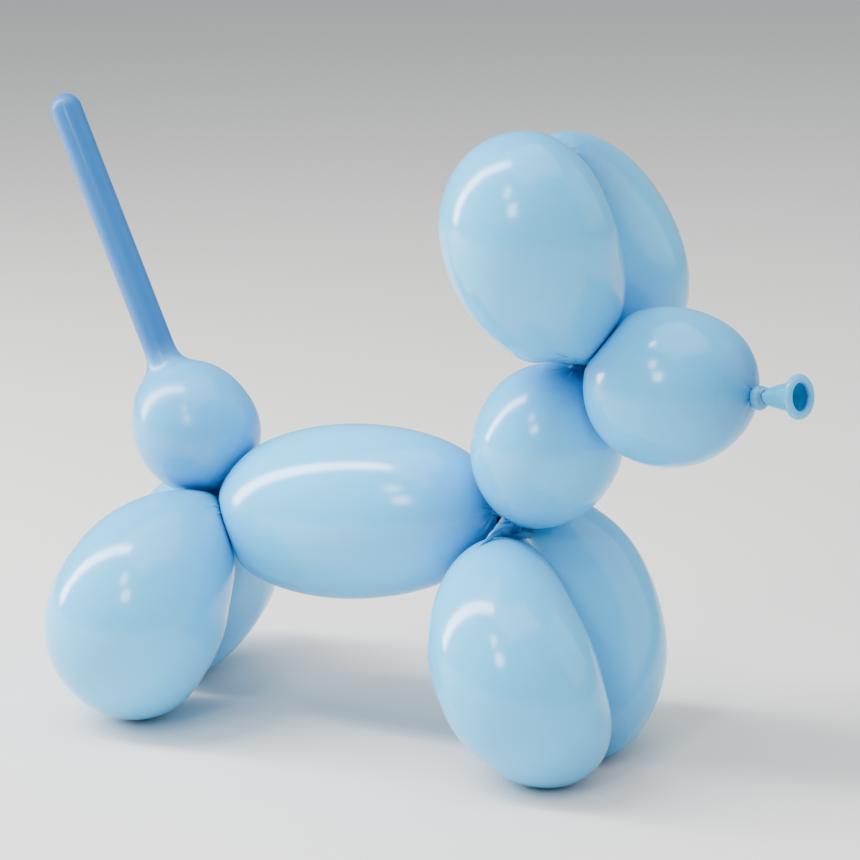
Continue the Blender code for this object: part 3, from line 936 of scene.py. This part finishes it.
# %% Make the balloon
mesh = bpy.data.meshes.new("balloon_skin")
mesh.from_pydata(skin["points"], [], skin["faces"])
form = bmesh.new()
form.from_mesh(mesh)
bmesh.ops.recalc_face_normals(form, faces=form.faces)
form.to_mesh(mesh)
form.free()
# the slack number, with its painted shade, goes on each point
mesh.attributes.new("slack_and_shade", "FLOAT", "POINT").data.foreach_set("value", skin["slack_and_shade"])
mesh.shade_smooth()
mesh.materials.append(latex)
balloon = bpy.data.objects.new("balloon_skin", mesh)
bpy.context.scene.collection.objects.link(balloon)
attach(balloon, "root")
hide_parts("balloon")
mesh.calc_loop_triangles()
print("one skin of", len(mesh.loop_triangles), "triangles")

# %% [markdown]
# ## The floor and the camera
# The poodle stands on a plain pale sheet of matt paper, so wide that its edge is never seen.
# The camera looks down a little from the poodle's right front. A long lens from a metre away
# keeps the near and the far leg about the same size, as in a product photo.

# %% Lay the floor
PAPER_WHITE = (0.80, 0.77, 0.735, 1.0)
PAPER_ROUGHNESS = 0.85
FLOOR_WIDTH = 12

paper = bpy.data.materials.new("pale paper")
paper.use_nodes = True
matt = paper.node_tree.nodes["Principled BSDF"]
matt.inputs["Base Color"].default_value = PAPER_WHITE
matt.inputs["Roughness"].default_value = PAPER_ROUGHNESS
bpy.ops.mesh.primitive_plane_add(size=FLOOR_WIDTH)
floor = bpy.context.active_object
floor.name = "floor"
floor.data.materials.append(paper)
floor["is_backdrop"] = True
print("floor", FLOOR_WIDTH, "m wide")

# %% Set the camera
AZIMUTH = 29.02
ELEVATION = 13.2
DISTANCE = 1.0
LENS = 126.84  # mm, on a sensor 36 mm wide
LOOK_AT = Vector((0.00025, 0.0, 0.10423)) + MIDDLE
azimuth, elevation = math.radians(AZIMUTH), math.radians(ELEVATION)
level = math.cos(elevation)
back = Vector((math.sin(azimuth) * level, -math.cos(azimuth) * level, math.sin(elevation)))
lens = bpy.data.cameras.new("camera")
lens.sensor_width = 36.0
lens.lens = LENS
camera = bpy.data.objects.new("camera", lens)
camera.location = LOOK_AT + back * DISTANCE
camera.rotation_euler = back.to_track_quat("Z", "Y").to_euler()
bpy.context.scene.collection.objects.link(camera)
bpy.context.scene.camera = camera
print("camera at, m:", [round(c, 3) for c in camera.location])

# %% [markdown]
# ## The lights
# A long soft box, which leans from the far left to overhead, gives each bubble the curved
# streak at its upper left. A window with two panes behind the camera's left shoulder gives the
# two small soft spots near the middle. A pale ceiling and a weak light from the right fill the
# shade, with the pale surround. Each light's place is given as the camera sees it, because that
# is how one judges where a highlight has to go.

# %% Hang the lights
SURROUND = (0.85, 0.94, 1.0, 1.0)
SURROUND_STRENGTH = 0.55

right = Vector((math.cos(azimuth), math.sin(azimuth), 0))
up = back.cross(right)


def soft_box(name, way, distance, width, height, power, roll=0.0):
    """A light of some watts, its way given as right, up and back, its sizes in metres."""
    data = bpy.data.lights.new(name, "AREA")
    data.shape = "RECTANGLE"
    data.size, data.size_y = width, height
    data.energy = power
    lamp = bpy.data.objects.new(name, data)
    direction = (right * way[0] + up * way[1] + back * way[2]).normalized()
    lamp.location = LOOK_AT + direction * distance
    turned = direction.to_track_quat("Z", "Y") @ Quaternion((0, 0, 1), math.radians(roll))
    lamp.rotation_euler = turned.to_euler()
    bpy.context.scene.collection.objects.link(lamp)


# name, way, distance, width, height, watts
soft_box("tall soft box", (-0.79, 0.61, 0.02), 1.0, 0.18, 1.56, 31, roll=-18)
soft_box("ceiling", (0.05, 0.95, 0.30), 1.6, 1.6, 1.6, 22)
soft_box("fill from the right", (0.85, 0.45, 0.05), 1.5, 1.2, 1.2, 5)
soft_box("window, upper pane", (-0.40, 0.52, 0.75), 0.8, 0.10, 0.16, 0.9)
soft_box("window, lower pane", (-0.34, 0.26, 0.90), 0.8, 0.13, 0.16, 1.5)
world = bpy.data.worlds.new("studio")
world.use_nodes = True
world.node_tree.nodes["Background"].inputs["Color"].default_value = SURROUND
world.node_tree.nodes["Background"].inputs["Strength"].default_value = SURROUND_STRENGTH
bpy.context.scene.world = world
print("five lights and a pale surround")

# %% [markdown]
# ## The skin against the solid
# The skin's box is set against the solid's.

# %% Finish
skin_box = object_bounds()
for corner, of_skin, of_solid in zip(("lowest", "highest"), skin_box, solid_box):
    difference = [round((a - b) * 1000, 2) for a, b in zip(of_skin, of_solid)]
    print("skin less solid at the", corner, "corner, mm:", difference)
